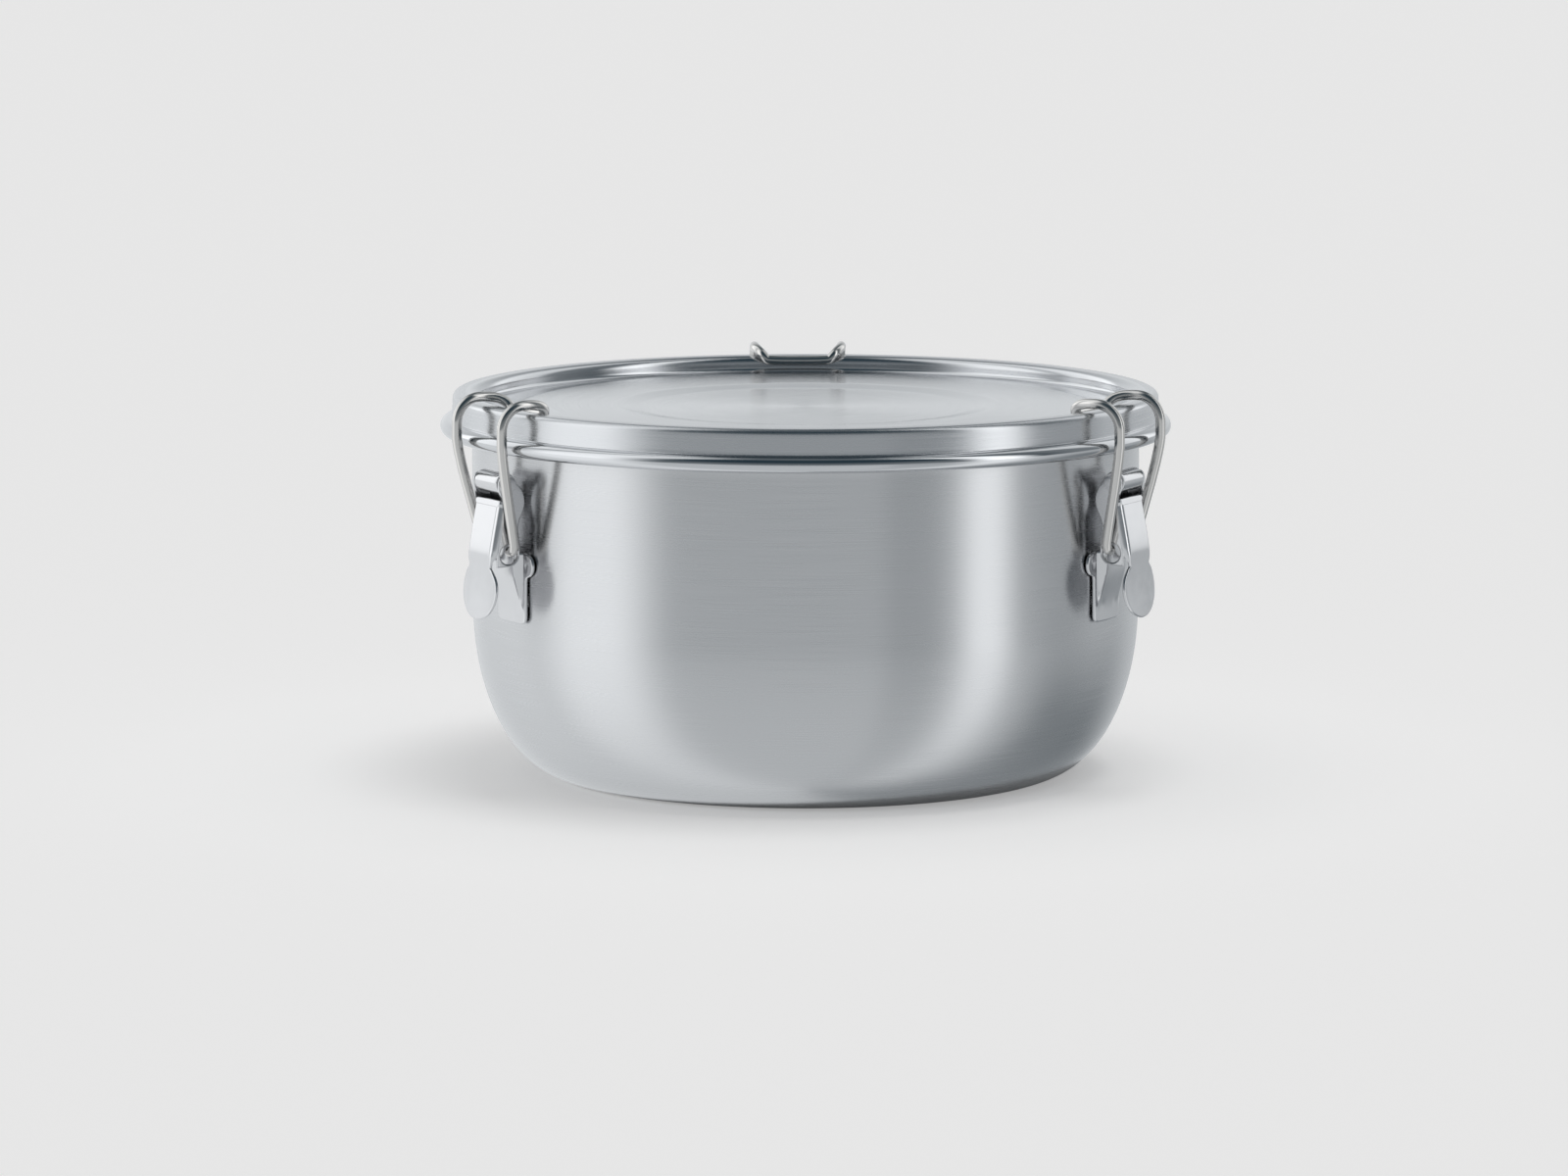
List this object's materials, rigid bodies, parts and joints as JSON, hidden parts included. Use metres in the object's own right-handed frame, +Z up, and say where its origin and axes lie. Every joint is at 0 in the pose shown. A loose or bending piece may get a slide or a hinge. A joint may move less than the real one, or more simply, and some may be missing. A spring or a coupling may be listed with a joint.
{
  "type": "food container",
  "caption": "Round stainless steel food container with a rounded lower edge, a recessed lid with a seal ring, and wire toggle latches that clamp the lid onto the bowl's flange.",
  "frame": {"origin": "centre of the flat base, on the surface the container stands on", "axes": "+Z up through the middle of the lid, +Y towards the latch at the back, +X to the right seen from the front"},
  "size_m": [0.1814, 0.1844, 0.0983],
  "materials": {
    "bowl_steel": "brushed round the wall",
    "lid_steel": "satin brushed, with a smoother plate",
    "seal": "matt silicone",
    "latch_steel": "polished stainless steel",
    "wire_steel": "drawn round wire, lightly polished"
  },
  "bodies": {
    "bowl": {"bowl": "bowl_steel", "latch_plate_left": "latch_steel", "hinge_pin_left": "latch_steel", "latch_plate_right": "latch_steel", "hinge_pin_right": "latch_steel", "latch_plate_back": "latch_steel", "hinge_pin_back": "latch_steel"},
    "lid": {"lid": "lid_steel", "lid_seal": "seal"},
    "lever_left": {"latch_lever_left": "latch_steel"},
    "bail_left": {"latch_bail_left": "wire_steel"},
    "lever_right": {"latch_lever_right": "latch_steel"},
    "bail_right": {"latch_bail_right": "wire_steel"},
    "lever_back": {"latch_lever_back": "latch_steel"},
    "bail_back": {"latch_bail_back": "wire_steel"}
  },
  "joints": [
    {"name": "lid_lift", "type": "slide", "parent": "bowl", "child": "lid", "axis": [0, 0, 1], "range_m": [0, 0.1]},
    {"name": "lever_left_hinge", "type": "hinge", "parent": "bowl", "child": "lever_left", "pos_m": [-0.07621, -0.044, 0.0775], "axis": [-0.5, 0.866, 0], "range_deg": [0, 115]},
    {"name": "bail_left_hinge", "type": "hinge", "parent": "lever_left", "child": "bail_left", "pos_m": [-0.0756, -0.04365, 0.0611], "axis": [-0.5, 0.866, 0], "range_deg": [-58, 0]},
    {"name": "lever_right_hinge", "type": "hinge", "parent": "bowl", "child": "lever_right", "pos_m": [0.07621, -0.044, 0.0775], "axis": [-0.5, -0.866, 0], "range_deg": [0, 115]},
    {"name": "bail_right_hinge", "type": "hinge", "parent": "lever_right", "child": "bail_right", "pos_m": [0.0756, -0.04365, 0.0611], "axis": [-0.5, -0.866, 0], "range_deg": [-58, 0]},
    {"name": "lever_back_hinge", "type": "hinge", "parent": "bowl", "child": "lever_back", "pos_m": [0, 0.088, 0.0775], "axis": [1, 0, 0], "range_deg": [0, 115]},
    {"name": "bail_back_hinge", "type": "hinge", "parent": "lever_back", "child": "bail_back", "pos_m": [0, 0.0873, 0.0611], "axis": [1, 0, 0], "range_deg": [-58, 0]}
  ],
  "couplings": [
    {"joint": "bail_left_hinge", "follows": "lever_left_hinge", "ratio": -0.5},
    {"joint": "bail_right_hinge", "follows": "lever_right_hinge", "ratio": -0.5},
    {"joint": "bail_back_hinge", "follows": "lever_back_hinge", "ratio": -0.5}
  ]
}
